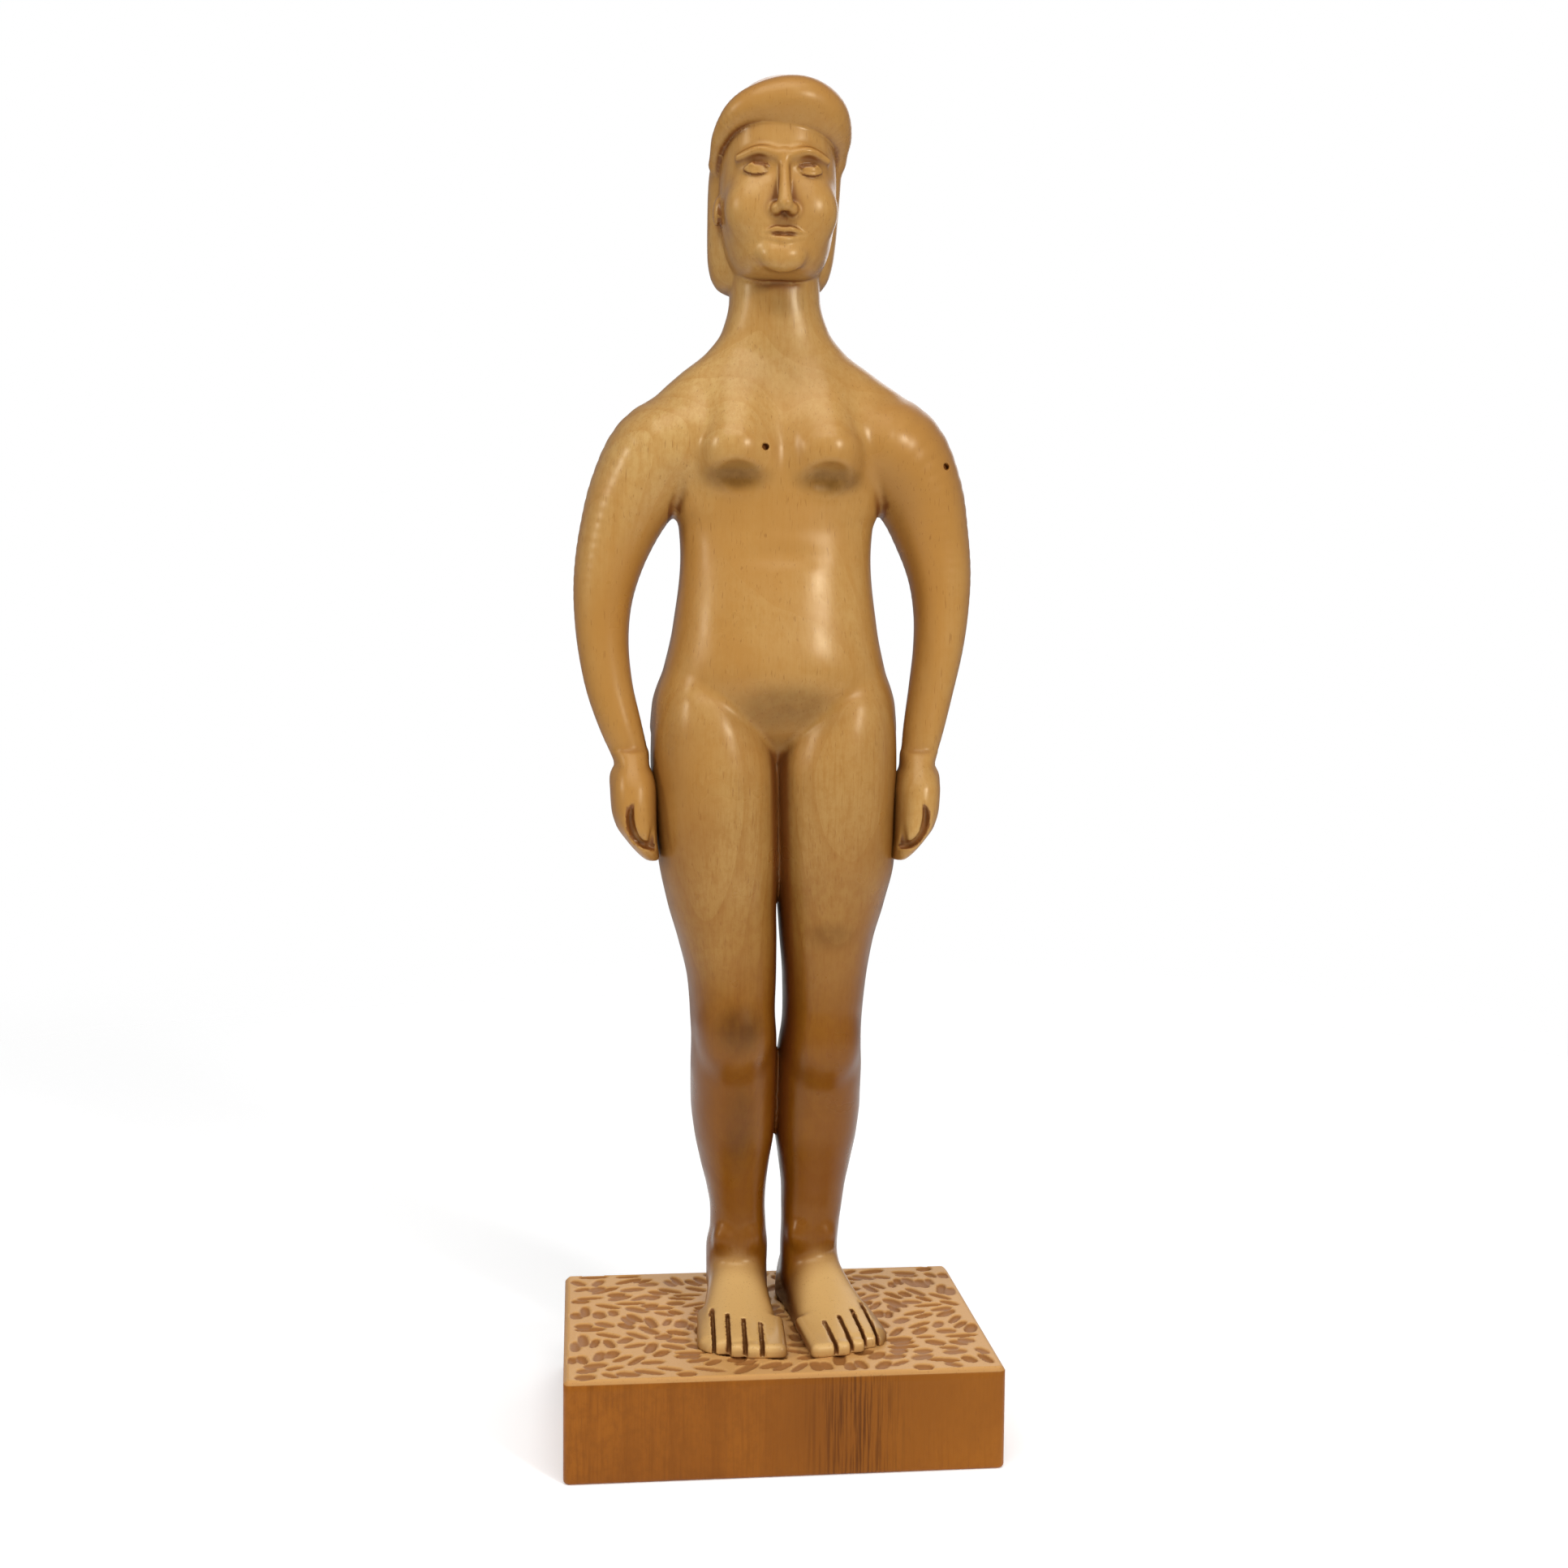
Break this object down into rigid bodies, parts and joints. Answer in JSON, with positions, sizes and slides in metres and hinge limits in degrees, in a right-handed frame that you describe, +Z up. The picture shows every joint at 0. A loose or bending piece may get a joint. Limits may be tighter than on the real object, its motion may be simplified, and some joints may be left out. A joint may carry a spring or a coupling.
{
  "type": "standing figure sculpture",
  "caption": "Carved wooden standing female figure with doweled-on arms, hands resting on the thighs, fixed on a rectangular block plinth with a bevelled top",
  "frame": {"origin": "Middle of the plinth's underside, on the surface that the figure stands on", "axes": "+Z up; the figure faces -Y; its left side is at +X"},
  "size_m": [0.154, 0.11, 0.4915],
  "materials": {
    "figure_wood": "gloss varnish",
    "plinth_wood": "satin varnish",
    "dowel_wood": "bare"
  },
  "bodies": {
    "root": {"plinth": "plinth_wood", "body": "figure_wood", "left_arm": "figure_wood", "right_arm": "figure_wood", "left_shoulder_dowel_upper": "dowel_wood", "left_shoulder_dowel_lower": "dowel_wood", "right_shoulder_dowel_upper": "dowel_wood", "right_shoulder_dowel_lower": "dowel_wood", "left_hand_dowel": "dowel_wood", "right_hand_dowel": "dowel_wood", "left_foot_dowel": "dowel_wood", "right_foot_dowel": "dowel_wood"}
  },
  "joints": []
}
